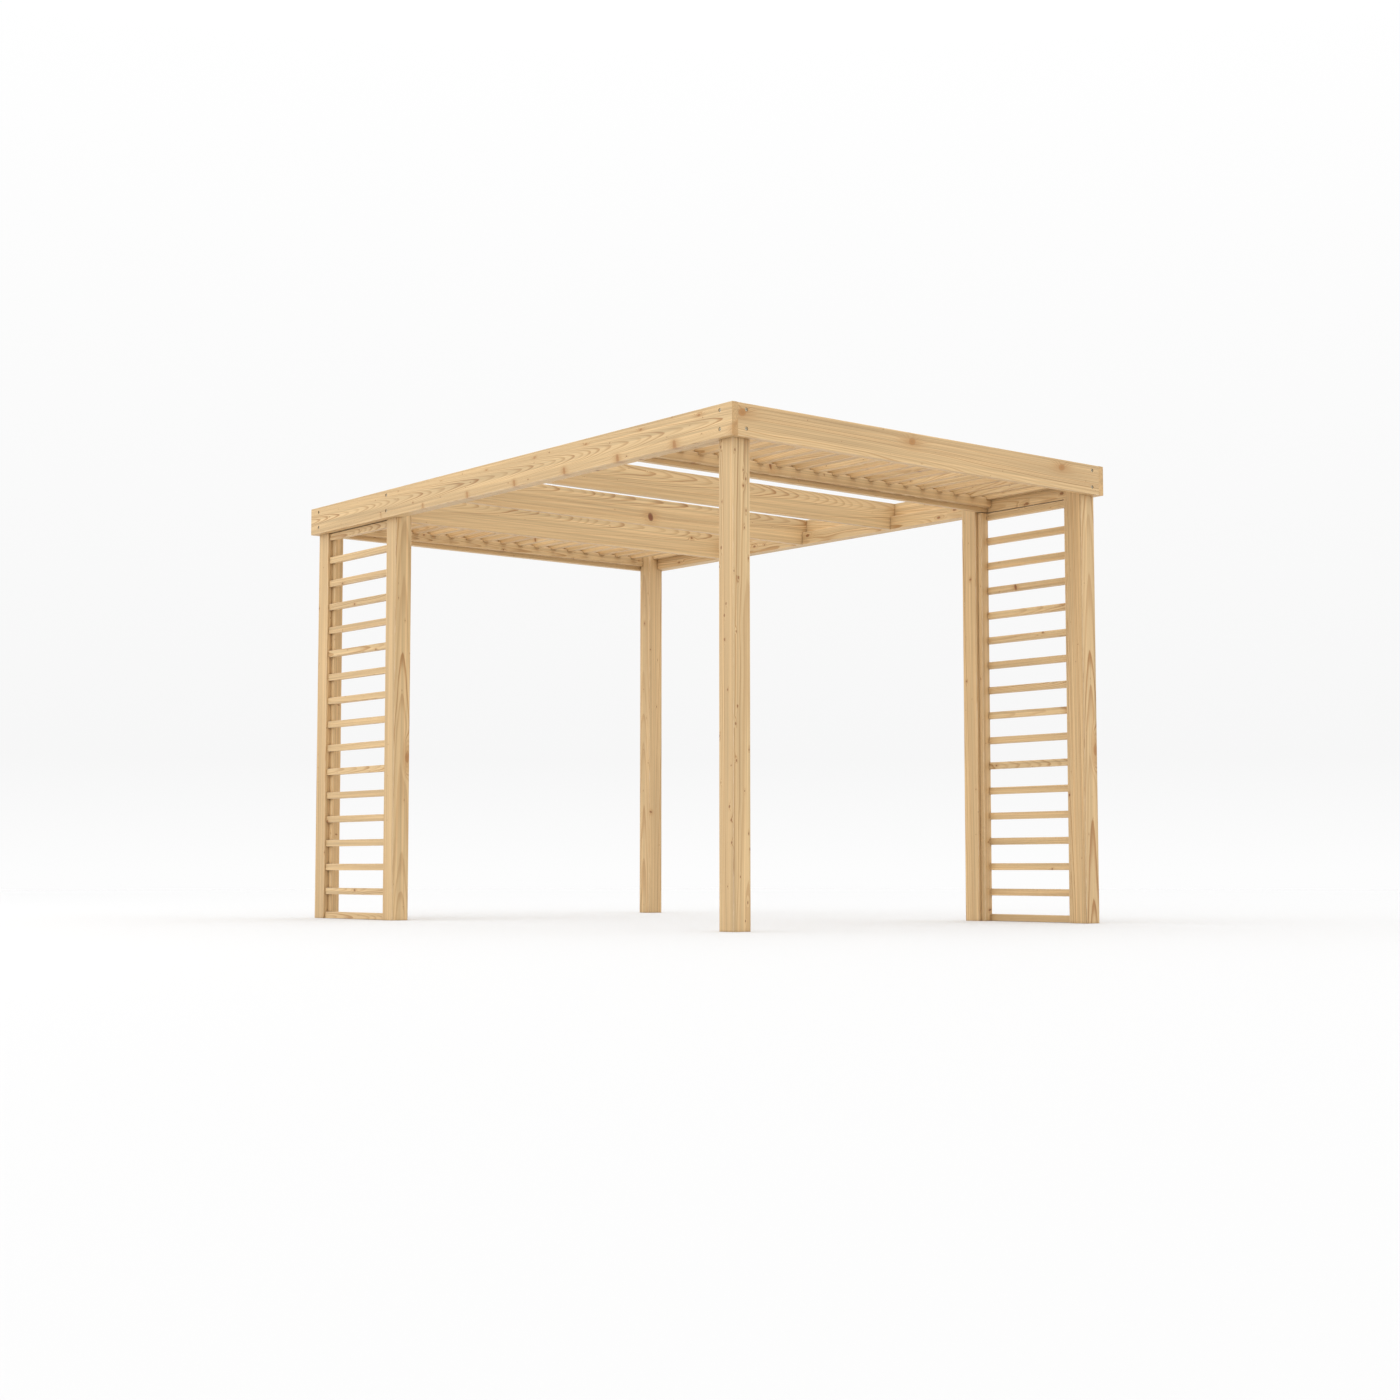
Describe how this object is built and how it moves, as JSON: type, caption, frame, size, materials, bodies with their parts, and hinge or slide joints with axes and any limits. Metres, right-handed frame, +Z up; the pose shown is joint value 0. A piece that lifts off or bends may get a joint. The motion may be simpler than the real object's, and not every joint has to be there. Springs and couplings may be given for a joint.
{
  "type": "garden pergola",
  "caption": "Rectangular timber garden pergola: square posts inside a fascia frame, cross rafters, slatted screens at two opposite corners and slatted roof bays at both ends.",
  "frame": {"origin": "on the ground, under the middle of the frame", "axes": "+X along the long side, +Y along the short side, +Z up; -Y is the long side with the screen at its left end"},
  "size_m": [3.6, 2.4, 2.245],
  "materials": {
    "fascia": "planed, bare",
    "post": "planed, bare",
    "plate": "planed, bare",
    "rafter": "planed, bare",
    "batten": "planed, bare",
    "slat": "planed, bare",
    "screw": "dull zinc"
  },
  "bodies": {
    "root": {"front_fascia": "fascia", "back_fascia": "fascia", "right_fascia": "fascia", "left_fascia": "fascia", "front_right_post": "post", "front_left_post": "post", "front_inner_post": "post", "back_left_post": "post", "back_right_post": "post", "back_inner_post": "post", "front_plate": "plate", "front_short_plate": "plate", "back_plate": "plate", "back_short_plate": "plate", "rafter_1": "rafter", "rafter_2": "rafter", "rafter_3": "rafter", "rafter_4": "rafter", "right_rafter_batten": "batten", "right_fascia_batten": "batten", "left_rafter_batten": "batten", "left_fascia_batten": "batten", "right_roof_slats": "slat", "left_roof_slats": "slat", "front_screen_outer_batten": "batten", "front_screen_inner_batten": "batten", "back_screen_outer_batten": "batten", "back_screen_inner_batten": "batten", "front_screen_slats": "slat", "back_screen_slats": "slat", "fascia_screws": "screw"}
  },
  "joints": []
}
